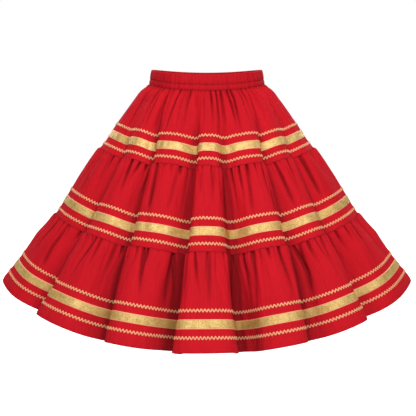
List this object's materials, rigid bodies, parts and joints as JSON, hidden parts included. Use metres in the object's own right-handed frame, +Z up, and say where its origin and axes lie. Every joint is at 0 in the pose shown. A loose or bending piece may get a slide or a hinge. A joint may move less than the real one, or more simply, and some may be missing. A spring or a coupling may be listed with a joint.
{
  "type": "square dance skirt",
  "caption": "Full three-tier gathered cotton skirt with an elastic waistband, each tier trimmed with gold ribbon between two rows of zigzag braid, held as if worn.",
  "frame": {"origin": "centre of the waist opening at half the waistband's height, where the skirt is held round the waist", "axes": "+Z up through the waist opening, +X to the wearer's left along the skirt's full width, -Y towards the front"},
  "size_m": [0.901, 0.7555, 0.5303],
  "materials": {
    "red_cotton": "plain-woven red cotton, matt with a faint sheen",
    "gold_ribbon": "woven metallic gold ribbon with narrow peach edges",
    "gold_ricrac": "pale peach-gold zigzag braid"
  },
  "bodies": {
    "root": {"waistband": "red_cotton", "upper_tier": "red_cotton", "upper_ribbon": "gold_ribbon", "upper_ricrac_head": "gold_ricrac", "upper_ricrac_foot": "gold_ricrac", "middle_tier": "red_cotton", "middle_ribbon": "gold_ribbon", "middle_ricrac_head": "gold_ricrac", "middle_ricrac_foot": "gold_ricrac", "lower_tier": "red_cotton", "lower_ribbon": "gold_ribbon", "lower_ricrac_head": "gold_ricrac", "lower_ricrac_foot": "gold_ricrac"}
  },
  "joints": []
}
